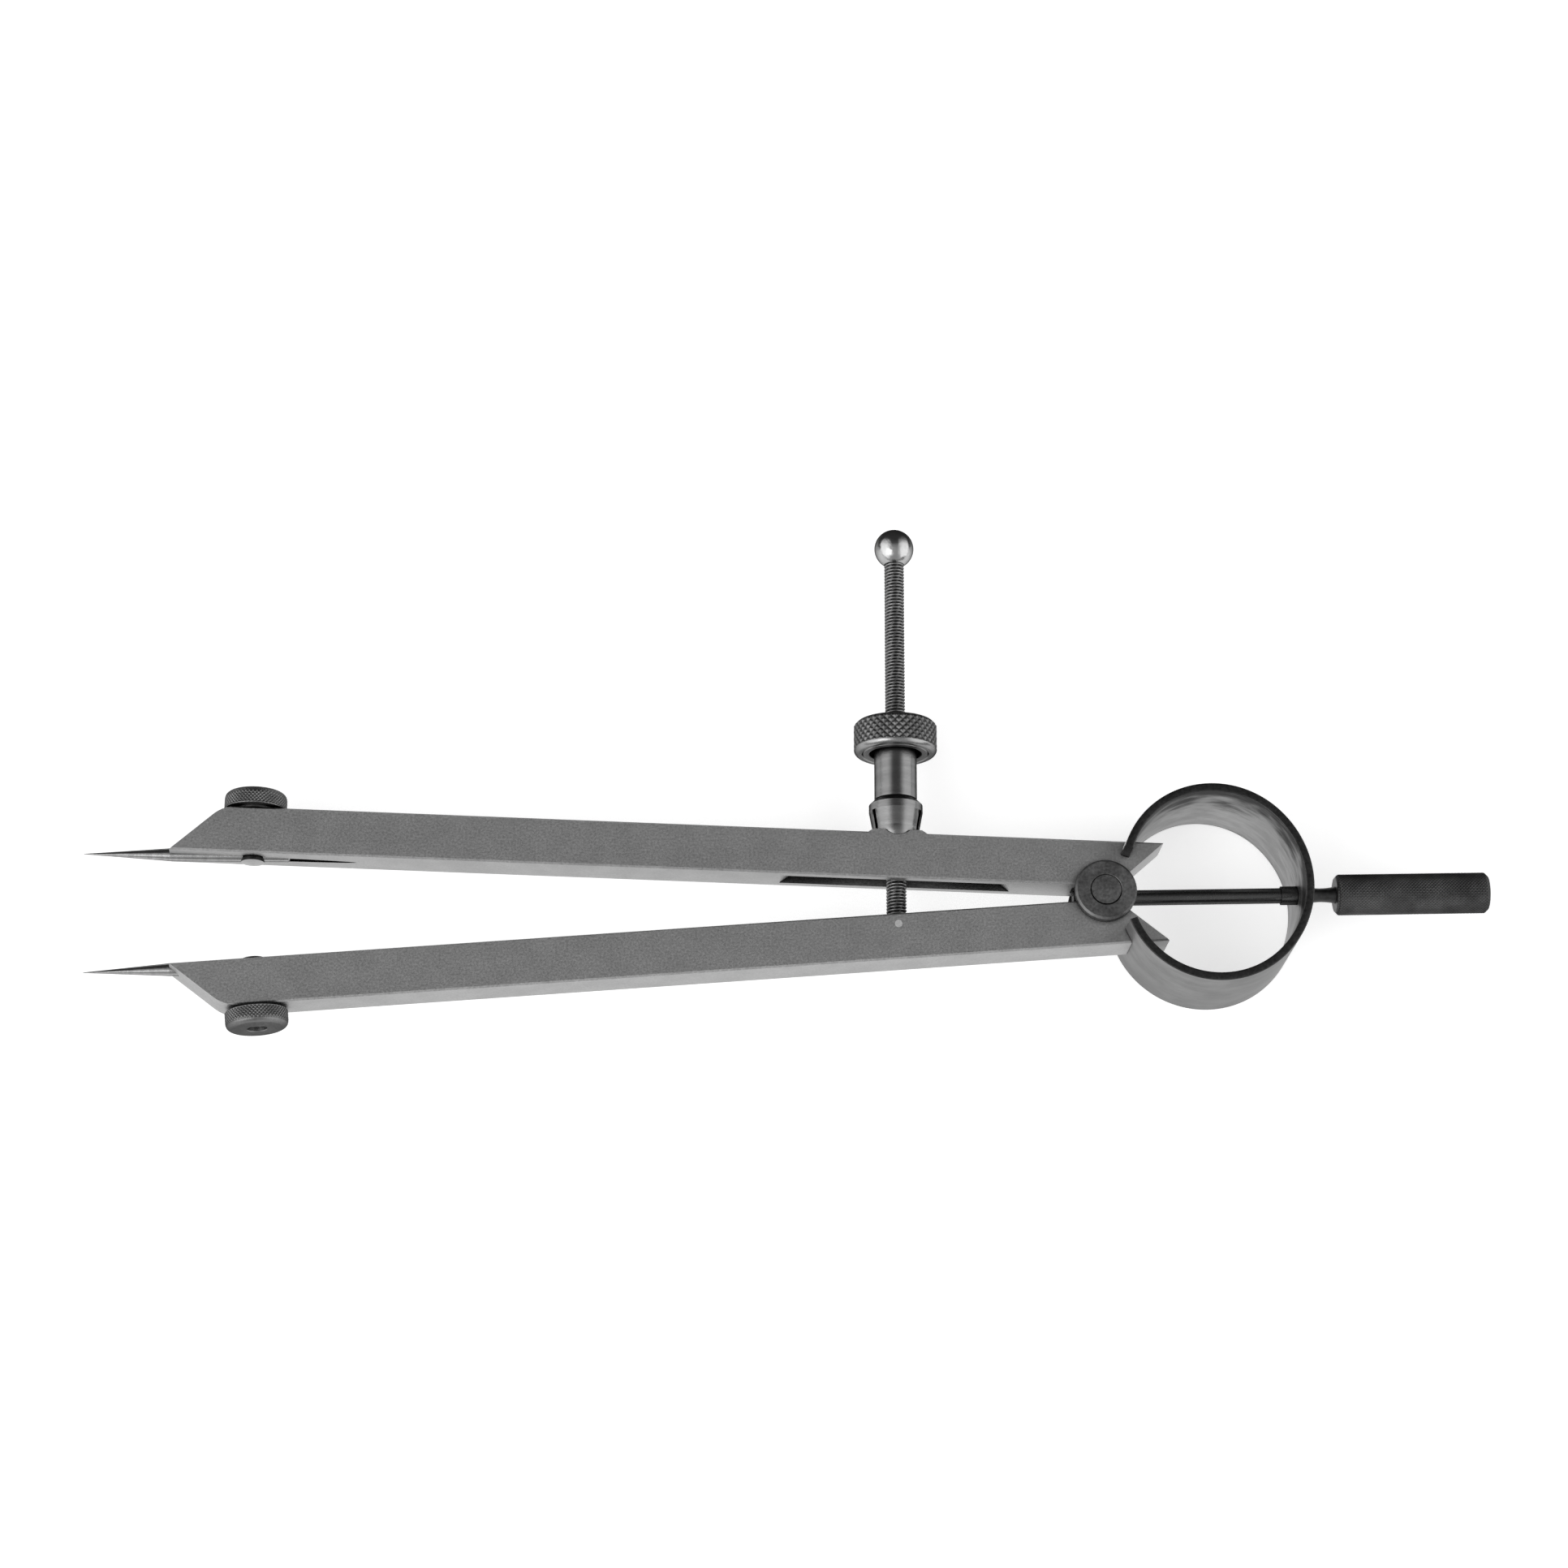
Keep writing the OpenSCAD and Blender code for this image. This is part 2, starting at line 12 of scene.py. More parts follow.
import bpy
import numpy as np
from mathutils import Matrix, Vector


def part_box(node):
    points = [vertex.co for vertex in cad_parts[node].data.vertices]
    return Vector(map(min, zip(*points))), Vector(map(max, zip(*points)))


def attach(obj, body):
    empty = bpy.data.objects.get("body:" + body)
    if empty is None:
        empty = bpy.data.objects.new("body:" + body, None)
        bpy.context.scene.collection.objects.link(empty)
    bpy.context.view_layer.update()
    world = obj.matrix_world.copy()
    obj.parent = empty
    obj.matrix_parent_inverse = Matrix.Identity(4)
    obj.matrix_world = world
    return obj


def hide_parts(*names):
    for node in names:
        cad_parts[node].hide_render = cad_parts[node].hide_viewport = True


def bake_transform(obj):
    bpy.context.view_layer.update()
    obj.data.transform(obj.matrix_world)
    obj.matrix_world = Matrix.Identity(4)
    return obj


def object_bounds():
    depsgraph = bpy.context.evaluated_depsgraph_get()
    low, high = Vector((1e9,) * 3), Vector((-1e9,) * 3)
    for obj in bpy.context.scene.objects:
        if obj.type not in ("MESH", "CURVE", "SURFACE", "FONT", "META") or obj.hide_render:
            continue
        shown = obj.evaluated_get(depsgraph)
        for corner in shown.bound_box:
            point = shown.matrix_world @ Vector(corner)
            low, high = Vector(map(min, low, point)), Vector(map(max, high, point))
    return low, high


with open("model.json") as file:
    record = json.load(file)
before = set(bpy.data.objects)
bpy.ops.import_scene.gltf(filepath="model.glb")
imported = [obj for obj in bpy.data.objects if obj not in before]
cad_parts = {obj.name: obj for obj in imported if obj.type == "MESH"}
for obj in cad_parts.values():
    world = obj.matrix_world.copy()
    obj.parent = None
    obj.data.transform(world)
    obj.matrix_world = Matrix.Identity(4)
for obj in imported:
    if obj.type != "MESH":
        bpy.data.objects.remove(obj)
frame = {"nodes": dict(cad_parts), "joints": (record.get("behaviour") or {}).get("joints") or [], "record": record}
cad_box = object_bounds()

# %% [markdown]
# ## The camera first
#
# The photo looks at the tool almost square on, from a little below. A camera can be set by eye, but here the
# edges of the photo were fitted with a pinhole camera, so its place and its axes are plain numbers. They are
# given from the pivot, at the middle of the legs' thickness.

# %% Set the camera from the fitted numbers
MM = 0.001
FOCAL_PX = 6000.0
PHOTO_PX = 1932.0
SENSOR_MM = 36.0
joints = {joint["name"]: joint for joint in frame["joints"]}
pivot = np.array(joints["upper_leg_swing"]["pos_m"])
camera_at = pivot + MM * np.array([-103.72, -206.29, 685.49])
camera_right = np.array([0.9968, -0.0365, 0.0710])
camera_back = np.array([-0.0789, -0.3106, 0.9473])


def unit(v):
    """The vector divided by its length."""
    return v / np.linalg.norm(v)


def place(obj, right, back, at):
    """Puts an object at a point, with its own X towards right and its own Z towards back."""
    back = unit(back)
    up = unit(np.cross(back, right))
    pose = np.eye(4)
    pose[:3, :] = np.column_stack([np.cross(up, back), up, back, at])
    obj.matrix_world = Matrix(pose.tolist())
    bpy.context.scene.collection.objects.link(obj)


lens = bpy.data.cameras.new("camera")
lens.sensor_width = SENSOR_MM
lens.lens = FOCAL_PX / PHOTO_PX * SENSOR_MM
camera = bpy.data.objects.new("camera", lens)
place(camera, camera_right, camera_back, camera_at)
bpy.context.scene.camera = camera
print("camera lens, mm:", round(lens.lens, 2))

# %% [markdown]
# ## Surfaces from two parameters
#
# Every new piece is a grid of points over two parameters, such as the angle round an axis and the distance
# along an outline. The grid becomes quads by index arithmetic, with no loop over points. The sign of the
# enclosed volume tells which way the quads face, so a piece never comes out inside out. A second number at
# each point tells how deep it lies in a groove, so that a finish can paint shade there.

# %% A mesh from a grid of points


def grid_mesh(name, points, caps, groove=None):
    """A closed skin over a grid of shape (rows, columns, 3). Columns run round and join up. Rows join up too,
    unless caps is true: then the first and the last row are closed with one flat face each."""
    rows, cols = points.shape[:2]
    index = np.arange(rows * cols).reshape(rows, cols)
    over = np.roll(index, -1, axis=1)
    quads = np.stack([index, over, np.roll(over, -1, axis=0), np.roll(index, -1, axis=0)], axis=-1)
    quads = (quads[:-1] if caps else quads).reshape(-1, 4)
    flat = points.reshape(-1, 3)
    a, b, c, d = (flat[quads[:, k]] - flat.mean(axis=0) for k in range(4))
    volume = (np.cross(a, b) * c + np.cross(a, c) * d).sum()
    faces = quads.tolist()
    if caps:
        faces += [index[0, ::-1].tolist(), index[-1].tolist()]
    if volume < 0:
        faces = [face[::-1] for face in faces]
    mesh = bpy.data.meshes.new(name)
    mesh.from_pydata(flat.tolist(), [], faces)
    depth = np.zeros(rows * cols) if groove is None else groove.ravel()
    # groove depth, which the finishes turn into painted shade
    mesh.attributes.new("groove", "FLOAT", "POINT").data.foreach_set("value", depth.astype(np.float32))
    return mesh


# %% [markdown]
# ## Turned pieces
#
# Nuts, grip, screw and ball are turned on a lathe. A modifier could spin a curve, but a formula lets each
# point have its own radius, and that is what a knurl or a thread is: a radius that changes with the angle and
# the height. Axes come from the joints and outer sizes from the CAD nodes, so a piece stays in line with
# them.

# %% Axes, sizes and a lathe that lets the radius vary
NEARLY_Z = 0.9
TINY = 1e-9


def axes_at(origin, along):
    """Origin and three square unit axes: along, front (nearest to Z, or to X if along is Z) and side."""
    along = unit(np.array(along, float))
    front = np.array([0.0, 0.0, 1.0] if abs(along[2]) < NEARLY_Z else [1.0, 0.0, 0.0])
    front = unit(front - (front @ along) * along)
    return np.array(origin, float), along, front, np.cross(along, front)


def turned_size(node, axes):
    """Largest radius about an axis, and lowest and highest point along it, of a CAD node, in mm."""
    mesh = frame["nodes"][node].data
    flat = np.empty(3 * len(mesh.vertices))
    mesh.vertices.foreach_get("co", flat)
    away = flat.reshape(-1, 3) - axes[0]
    height = away @ axes[1]
    radius = np.linalg.norm(away - height[:, None] * axes[1], axis=1)
    return radius.max() / MM, height.min() / MM, height.max() / MM


def outline(corners, steps):
    """Points along straight lines from corner to corner, with the given number of steps on each line."""
    corners = np.array(corners, float)
    parts = [np.linspace(corners[k], corners[k + 1], n, endpoint=False) for k, n in enumerate(steps)]
    return np.vstack(parts + [corners[-1:]])


def arc(centre, radius, start_deg, end_deg, steps):
    """Points on part of a circle: the centre plus the radius times cosine and sine of the angle."""
    turn = np.radians(np.linspace(start_deg, end_deg, steps + 1))
    return np.array(centre) + radius * np.column_stack([np.cos(turn), np.sin(turn)])


def lathe(name, shape, cols, axes, caps, relief=None):
    """Turns an outline of (radius, height) in mm about an axis. relief(angle, height, radius) gives how far
    each point lies below the outline, in mm."""
    origin, along, front, side = axes
    angle = np.arange(cols) * 2 * np.pi / cols
    height, turn = np.meshgrid(shape[:, 1], angle, indexing="ij")
    radius = np.broadcast_to(shape[:, :1], height.shape)
    depth = np.zeros(height.shape) if relief is None else relief(turn, height, radius)
    across = np.cos(turn)[..., None] * front + np.sin(turn)[..., None] * side
    points = origin + MM * ((radius - depth)[..., None] * across + height[..., None] * along)
    return grid_mesh(name, points, caps, depth / max(depth.max(), TINY))


# %% [markdown]
# ## How a piece joins the model
#
# A new piece stands for a CAD node, which is then hidden. Most pieces are then attached to the same body, so
# that they move with the same joint. Each piece also names the material slot of the record, and its finish is
# found by that name later.

# %% Add a piece in place of a CAD node
piece_slots = {}


def add_piece(name, mesh, sharp_deg, node, slot):
    """An object at the origin in place of a CAD node, smooth except along edges sharper than the angle."""
    mesh.shade_smooth()
    mesh.set_sharp_from_angle(angle=math.radians(sharp_deg))
    piece = bpy.data.objects.new(name, mesh)
    bpy.context.scene.collection.objects.link(piece)
    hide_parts(node)
    piece_slots[name] = slot
    print(f"{name}: {len(mesh.polygons)} faces for {node}")
    return piece


# %% [markdown]
# ## The knurled head of the adjusting nut
#
# A diamond knurl is pressed by two wheels that leave crossing grooves. Each set of grooves is a triangle wave
# along a slanted line, and the lower of the two waves gives the diamonds. A bump map would look flat at the
# rim, where the photo shows the teeth against the light, so the knurl is real geometry.

# %% Knurl as a formula
FLAT_TOP, KNURL_SHARP = 1.4, 32


def triangle(x):
    """0 at whole numbers, 1 half way between them, straight in between."""
    return 1 - np.abs(2 * (x % 1) - 1)


def ramp(x, low, high):
    """0 below low, 1 above high, with a soft step between."""
    t = np.clip((x - low) / (high - low), 0, 1)
    return t * t * (3 - 2 * t)


def diamond_knurl(count, pitch, depth, rim, low, high, edge):
    """Depth of a diamond knurl: the lower of two triangle waves, cut off flat on top, on the rim only."""

    def relief(angle, height, radius):
        turn = count * angle / (2 * np.pi)
        tops = np.minimum(triangle(turn + height / pitch), triangle(turn - height / pitch))
        band = ramp(height, low, low + edge) * (1 - ramp(height, high - edge, high))
        return depth * (1 - np.minimum(FLAT_TOP * tops, 1)) * band * (radius > rim)

    return relief


# %% Build the head
HEAD_TEETH, HEAD_PITCH, HEAD_DEPTH, HEAD_TOOTH_COLS = 34, 1.146, 0.18, 12
LIP_ROUND, TOP_BEVEL, LIP_LINE_R, LINE_W = 0.75, 0.45, 4.9, 0.14
RECESS_R, RECESS_H, SLEEVE_R, TOP_WALL, HOLE_R = 3.9, 1.6, 3.19, 1.2, 1.8
LIP_END_DEG, LIP_STEPS, RIM_STEPS = -4, 10, 40
EDGE = 0.1
nut_axes = axes_at(joints["nut_spin"]["pos_m"], joints["nut_spin"]["axis"])
head_r, low, high = turned_size("adjusting_nut", nut_axes)
knurl_low, knurl_high = low + LIP_ROUND, high - TOP_BEVEL
inside = outline(
    [
        (SLEEVE_R, high - TOP_WALL), (SLEEVE_R, low + RECESS_H), (RECESS_R, low + RECESS_H),
        (RECESS_R, low + EDGE), (RECESS_R + EDGE, low), (LIP_LINE_R - LINE_W, low),
        (LIP_LINE_R, low + LINE_W), (LIP_LINE_R + LINE_W, low),
    ],
    [2, 2, 3, 1, 3, 1, 1],
)
lip = arc((head_r - LIP_ROUND, knurl_low), LIP_ROUND, -90, LIP_END_DEG, LIP_STEPS)
rim = outline(
    [(head_r - EDGE, knurl_low), (head_r, knurl_low + EDGE), (head_r, knurl_high)], [1, RIM_STEPS]
)
top = outline(
    [(head_r - TOP_BEVEL, high), (HOLE_R + EDGE, high), (HOLE_R, high - EDGE), (HOLE_R, high - TOP_WALL)],
    [8, 1, 3],
)
head_knurl = diamond_knurl(
    HEAD_TEETH, HEAD_PITCH, HEAD_DEPTH, head_r - EDGE / 2, knurl_low, knurl_high + EDGE, EDGE
)
head_cols = HEAD_TEETH * HEAD_TOOTH_COLS
head_shape = np.vstack([inside, lip, rim, top])
head_mesh = lathe("knurled_head", head_shape, head_cols, nut_axes, False, head_knurl)
head = add_piece("knurled_head", head_mesh, KNURL_SHARP, "adjusting_nut", "knurled_steel")
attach(head, "adjusting_nut")

# %% [markdown]
# ## The clamp nuts
#
# Two small round nuts draw the eye bolts outwards and so hold the needles. They have a fine knurl, a round
# outer edge and a narrower foot that leaves a dark line at the leg, made darker still by painted shade in the
# gap. The same lathe and the same knurl formula make both, about the axes of their own joints.

# %% Build both clamp nuts
CLAMP_TEETH, CLAMP_PITCH, CLAMP_DEPTH, CLAMP_TOOTH_COLS = 52, 0.55, 0.12, 8
CLAMP_ROUND, FOOT_R, FOOT_H, STUD_R = 1.0, 3.2, 0.3, 1.45
WALL_STEPS, CORNER_FROM_DEG, CORNER_TO_DEG, CORNER_STEPS = 26, 10, 90, 8
for side in ("upper", "lower"):
    joint = joints[f"{side}_clamp_turn"]
    clamp_axes = axes_at(joint["pos_m"], joint["axis"])
    clamp_r, low, high = turned_size(f"{side}_clamp_nut", clamp_axes)
    step, shoulder = low + FOOT_H, high - CLAMP_ROUND
    foot = outline(
        [
            (STUD_R, low), (FOOT_R, low), (FOOT_R, step), (clamp_r - EDGE, step), (clamp_r, step + EDGE),
            (clamp_r, shoulder),
        ],
        [3, 2, 3, 1, WALL_STEPS],
    )
    corner = arc(
        (clamp_r - CLAMP_ROUND, shoulder), CLAMP_ROUND, CORNER_FROM_DEG, CORNER_TO_DEG, CORNER_STEPS
    )
    hole = outline([(STUD_R + EDGE, high), (STUD_R, high - EDGE), (STUD_R, low + EDGE)], [1, 4])
    knurl_r, knurl_high = clamp_r - CLAMP_ROUND / 4, high - CLAMP_ROUND / 2
    clamp_knurl = diamond_knurl(
        CLAMP_TEETH, CLAMP_PITCH, CLAMP_DEPTH, knurl_r, step, knurl_high, 2 * EDGE
    )
    clamp_cols = CLAMP_TEETH * CLAMP_TOOTH_COLS
    clamp_shape = np.vstack([foot, corner, hole])
    clamp_mesh = lathe(f"{side}_knurled_nut", clamp_shape, clamp_cols, clamp_axes, False, clamp_knurl)
    nut = add_piece(f"{side}_knurled_nut", clamp_mesh, KNURL_SHARP, f"{side}_clamp_nut", "knurled_steel")
    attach(nut, f"{side}_clamp_nut")

# %% [markdown]
# ## The handle
#
# The grip is a plain bar with a very fine knurl and bevelled ends, on a thin waisted neck. Neck and grip are
# one turned piece. The waist is a shallow hollow arc, written as a parabola between the neck's two ends.

# %% Build the grip
GRIP_TEETH, GRIP_PITCH, GRIP_DEPTH, GRIP_TOOTH_COLS = 38, 0.5, 0.12, 6
GRIP_LEN, GRIP_BEVEL, NECK_LEN, NECK_R, WAIST_R, TENON_R = 23.0, 0.5, 4.36, 1.27, 1.03, 0.8
CORE_R = 0.4
NECK_POINTS, GRIP_STEPS = 17, 264
stem_axes = axes_at(pivot, (1, 0, 0))
grip_r, low, high = turned_size("handle_grip", stem_axes)
grip_low = high - GRIP_LEN
neck_low = grip_low - NECK_LEN
waist = np.linspace(-1, 1, NECK_POINTS)
neck = np.column_stack(
    [WAIST_R + (NECK_R - WAIST_R) * waist**2, neck_low + NECK_LEN * (waist + 1) / 2]
)
tenon = outline([(CORE_R, low), (TENON_R, low), (TENON_R, neck_low)], [1, 3])
bar = outline(
    [
        (grip_r - GRIP_BEVEL, grip_low), (grip_r - EDGE, grip_low + GRIP_BEVEL - EDGE),
        (grip_r, grip_low + GRIP_BEVEL), (grip_r, high - GRIP_BEVEL),
        (grip_r - EDGE, high - GRIP_BEVEL + EDGE), (grip_r - GRIP_BEVEL, high), (CORE_R, high),
    ],
    [4, 2, GRIP_STEPS, 2, 4, 3],
)
grip_knurl = diamond_knurl(
    GRIP_TEETH, GRIP_PITCH, GRIP_DEPTH, grip_r - GRIP_BEVEL + EDGE, grip_low, high, 2 * EDGE
)
grip_cols = GRIP_TEETH * GRIP_TOOTH_COLS
grip_shape = np.vstack([tenon, neck, bar])
grip_mesh = lathe("knurled_grip", grip_shape, grip_cols, stem_axes, True, grip_knurl)
grip = add_piece("knurled_grip", grip_mesh, KNURL_SHARP, "handle_grip", "handle_steel")
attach(grip, "fulcrum")

# %% [markdown]
# ## The threaded screw
#
# A thread is a ridge that climbs by one pitch per turn, so its phase is the height divided by the pitch, less
# the share of a turn. The foot of the screw is a round eye on the anchor pin in the lower leg, made as a ring
# about the pin.

# %% Build screw and eye
THREAD_PITCH, THREAD_DEPTH, CREST = 0.5, 0.26, 1.3
THREAD_LOW, SCREW_FOOT, END_BEVEL = 1.6, 0.8, 0.2
PIN_R, EYE_HALF = 0.62, 1.1
SCREW_STEPS, SCREW_COLS, EYE_COLS, TURNED_SHARP = 916, 40, 48, 50
screw_axes = axes_at(joints["screw_swivel"]["pos_m"], joints["nut_spin"]["axis"])
screw_r, low, high = turned_size("adjusting_screw", screw_axes)


def thread(angle, height, radius):
    """Depth of a right-hand thread: a triangle wave of height over pitch less turns, with flat crests."""
    wave = triangle(height / THREAD_PITCH - angle / (2 * np.pi))
    start = ramp(height, THREAD_LOW, THREAD_LOW + THREAD_PITCH)
    return THREAD_DEPTH * (1 - np.minimum(CREST * wave, 1)) * start * (radius > screw_r - END_BEVEL)


screw_shape = outline(
    [
        (CORE_R, SCREW_FOOT), (screw_r, SCREW_FOOT), (screw_r, THREAD_LOW), (screw_r, high - END_BEVEL),
        (screw_r - END_BEVEL, high), (CORE_R, high),
    ],
    [1, 4, SCREW_STEPS, 2, 1],
)
screw_mesh = lathe("threaded_screw", screw_shape, SCREW_COLS, screw_axes, True, thread)
eye_shape = outline(
    [
        (PIN_R, -EYE_HALF), (screw_r, -EYE_HALF), (screw_r, EYE_HALF), (PIN_R, EYE_HALF),
        (PIN_R, EDGE - EYE_HALF),
    ],
    [3, 4, 3, 4],
)
eye_mesh = lathe("screw_eye", eye_shape, EYE_COLS, axes_at(screw_axes[0], (0, 0, 1)), False)
for name, mesh in (("threaded_screw", screw_mesh), ("screw_eye", eye_mesh)):
    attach(add_piece(name, mesh, TURNED_SHARP, "adjusting_screw", "screw_steel"), "adjusting_screw")

# %% [markdown]
# ## The ball
#
# The polished ball shows every facet in its reflections, so it is turned again with many more columns than
# the CAD mesh has. A bore below keeps the screw's end inside.

# %% Build the ball
BALL_BORE_R, BALL_BORE_TOP, SLACK = 1.52, 0.63, 0.01
POLE_DEG, BALL_STEPS, BALL_COLS = 89.5, 72, 128
ball_r, low, high = turned_size("screw_ball", screw_axes)
ball_at = high - ball_r
mouth_deg = -math.degrees(math.acos(BALL_BORE_R / ball_r))
bore = outline([(CORE_R, ball_at + BALL_BORE_TOP), (BALL_BORE_R, ball_at + BALL_BORE_TOP)], [2])
skin = arc((0, ball_at), ball_r - SLACK, mouth_deg, POLE_DEG, BALL_STEPS)
ball_mesh = lathe("polished_ball", np.vstack([bore, skin]), BALL_COLS, screw_axes, True)
ball = add_piece("polished_ball", ball_mesh, TURNED_SHARP, "screw_ball", "polished_steel")
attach(ball, "adjusting_screw")

# %% [markdown]
# ## The bow spring
#
# The spring is a wide strip bent to a C. When the legs open, its ends come together, so it can't ride on one
# body. It is made as two halves that meet at the crown. Each half runs from the crown, round the fulcrum, to
# its leg's slot, and curves smoothly between them. The path is two arcs, and a rounded rectangle runs along
# it.

# %% Path and section of the strip
STRIP_T, STRIP_ROUND = 1.2, 0.16
CROWN_R, SIDE_R, CROWN_DEG = 15.6, 14.0, 45.0
CROWN_STEPS, SIDE_STEPS, ROUND_STEPS, STRIP_SHARP = 40, 110, 4, 40
strip_low, strip_high = (np.array(corner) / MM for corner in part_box("bow_spring"))
crown_x, strip_w = strip_high[0], strip_high[2] - strip_low[2]
side_x = crown_x - CROWN_R + (CROWN_R - SIDE_R) * math.cos(math.radians(CROWN_DEG))
end_deg = math.degrees(math.acos((strip_low[0] - side_x) / SIDE_R))
print("the strip ends at, degrees:", round(end_deg, 2))


def strip_path():
    """Points on the outside of half the strip and the outward directions there: one arc about the handle's
    axis, then a tighter arc that leaves it without a kink."""
    crown_at = np.array([crown_x - CROWN_R, 0.0])
    crown = arc((0, 0), 1, 0, CROWN_DEG, CROWN_STEPS)[:-1]
    side = arc((0, 0), 1, CROWN_DEG, end_deg, SIDE_STEPS)
    side_at = crown_at + (CROWN_R - SIDE_R) * side[0]
    return np.vstack([crown_at + CROWN_R * crown, side_at + SIDE_R * side]), np.vstack([crown, side])


def strip_section():
    """Rounded rectangle: thickness inwards from the outside, and width, from four corner arcs."""
    half = strip_w / 2 - STRIP_ROUND
    near, far = -STRIP_ROUND, STRIP_ROUND - STRIP_T
    places = [(near, half), (far, half), (far, -half), (near, -half)]
    corners = [arc(p, STRIP_ROUND, 90 * k, 90 * k + 90, ROUND_STEPS) for k, p in enumerate(places)]
    return np.vstack(corners)


# %% Sweep the two halves
path, outward = strip_path()
section = strip_section()
halves = []
for name, sign, body in (("bow_upper_half", 1.0, "upper_leg"), ("bow_lower_half", -1.0, "lower_leg")):
    flip = np.array([1.0, sign])
    plane = (path * flip)[:, None, :] + section[None, :, :1] * (outward * flip)[:, None, :]
    height = np.broadcast_to(pivot[2] / MM + section[None, :, 1:], plane.shape[:2] + (1,))
    half_mesh = grid_mesh(name, MM * np.concatenate([plane, height], axis=2), True)
    half = add_piece(name, half_mesh, STRIP_SHARP, "bow_spring", "spring_steel")
    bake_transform(half)
    halves.append(half)

# %% [markdown]
# ## Steel finishes
#
# All pieces are bare steel, told apart by tone and surface: blasted legs, turned collet, dark knurls,
# polished ball. One function builds them. Fine noise over the object's own coordinates is the grain, coarse
# noise makes clouds, and a stretched grain gives the rings of a lathe. Grooves and narrow gaps get painted
# shade, a darker tone where little light gets in. Nothing is painted from a picture.

# %% Shader nodes in short calls


def put(tree, kind, inputs=None, **options):
    """Adds a node, sets its options, and feeds each named or numbered input with a socket or a constant."""
    node = tree.nodes.new(kind)
    for key, value in options.items():
        setattr(node, key, value)
    for key, value in (inputs or {}).items():
        if isinstance(value, bpy.types.NodeSocket):
            tree.links.new(value, node.inputs[key])
        else:
            node.inputs[key].default_value = value
    return node


def spread_to(tree, value, low, high, smooth=False, start=0.0, end=1.0):
    """A socket that maps a value from start..end to low..high."""
    ranges = {"Value": value, "From Min": start, "From Max": end, "To Min": low, "To Max": high}
    kind = "SMOOTHSTEP" if smooth else "LINEAR"
    return put(tree, "ShaderNodeMapRange", ranges, interpolation_type=kind).outputs["Result"]


def times(tree, first, second):
    """A socket with the product of two others."""
    return put(tree, "ShaderNodeMath", {0: first, 1: second}, operation="MULTIPLY").outputs["Value"]


# %% A steel with grain
FINE_DETAIL, LARGE_DETAIL, AO_SAMPLES = 4.0, 5.0, 6
CLOUDS_FROM, CLOUDS_TO = 0.3, 0.7
# painted shade: how far grooves and narrow gaps darken the tone
GROOVE_SHADE_TONE, GAP_SHADE_TONE, GAP_SHADE_MM, GAP_SHADE_FROM, GAP_SHADE_TO = 0.45, 0.1, 1.2, 0.2, 0.85
BUMP, GRAIN_TO_BUMP = 0.3, 5


def steel(
    name, tone, rough, grain, spread, rim=1.0, cloud=4.0, clouds=0.1, stretch=(1, 1, 1), scale_and_shade=None
):
    """Metal of a tone and roughness that wander by spread over grains, and by clouds over larger patches.
    grain and cloud are sizes in mm. rim is how bright the metal is where it is seen at a flat angle. Painted shade
    lowers the tone in grooves and gaps; the last argument can add real scale or more painted shade elsewhere."""
    mat = bpy.data.materials.new(name)
    mat.use_nodes = True
    tree = mat.node_tree
    shader = tree.nodes["Principled BSDF"]
    shader.inputs["Metallic"].default_value = 1.0
    shader.inputs["Specular Tint"].default_value = (rim, rim, rim, 1)
    here = put(tree, "ShaderNodeTexCoord").outputs["Object"]
    pulled = put(tree, "ShaderNodeMapping", {"Vector": here, "Scale": stretch}).outputs["Vector"]
    grains = {"Vector": pulled, "Scale": 1 / (grain * MM), "Detail": FINE_DETAIL}
    patches = {"Vector": pulled, "Scale": 1 / (cloud * MM), "Detail": LARGE_DETAIL}
    fine = put(tree, "ShaderNodeTexNoise", grains).outputs["Fac"]
    large = put(tree, "ShaderNodeTexNoise", patches).outputs["Fac"]
    # painted shade in grooves, by their depth, and in narrow gaps, by ambient occlusion
    groove = put(tree, "ShaderNodeAttribute", attribute_name="groove").outputs["Fac"]
    gap_shade = put(tree, "ShaderNodeAmbientOcclusion", {"Distance": GAP_SHADE_MM * MM}, samples=AO_SAMPLES)
    shade = spread_to(tree, fine, tone * (1 - spread), tone * (1 + spread))
    for layer in (
        spread_to(tree, large, 1 - clouds, 1 + clouds, True, CLOUDS_FROM, CLOUDS_TO),
        spread_to(tree, groove, 1.0, GROOVE_SHADE_TONE),
        spread_to(tree, gap_shade.outputs["AO"], GAP_SHADE_TONE, 1.0, True, GAP_SHADE_FROM, GAP_SHADE_TO),
    ):
        shade = times(tree, shade, layer)
    # darker zones: the strip's real scale, or painted shade on studs and in slots
    if scale_and_shade:
        shade = times(tree, shade, scale_and_shade(tree, here, large))
    tree.links.new(shade, shader.inputs["Base Color"])
    gloss = spread_to(tree, fine, rough * (1 - spread), rough * (1 + spread))
    tree.links.new(gloss, shader.inputs["Roughness"])
    relief = {"Strength": BUMP, "Distance": grain * MM / GRAIN_TO_BUMP, "Height": fine}
    tree.links.new(put(tree, "ShaderNodeBump", relief).outputs["Normal"], shader.inputs["Normal"])
    return mat


# %% Darker zones: real scale, and painted shade
SCALE_FROM, SCALE_TO, SCALE_MM, SCALE_TONE = 4.0, 13.0, 12.0, 0.16
# painted shade on the clamp studs' sides
SIDE_SHADE_TONE, SIDE_SHADE_FROM, SIDE_SHADE_TO = 0.12, 0.3, 0.8
# painted shade deep in the legs' slots
SLOT_SHADE_MM, SLOT_SHADE_TONE, SLOT_SHADE_FROM, SLOT_SHADE_TO = 5.0, 0.08, 0.45, 0.9


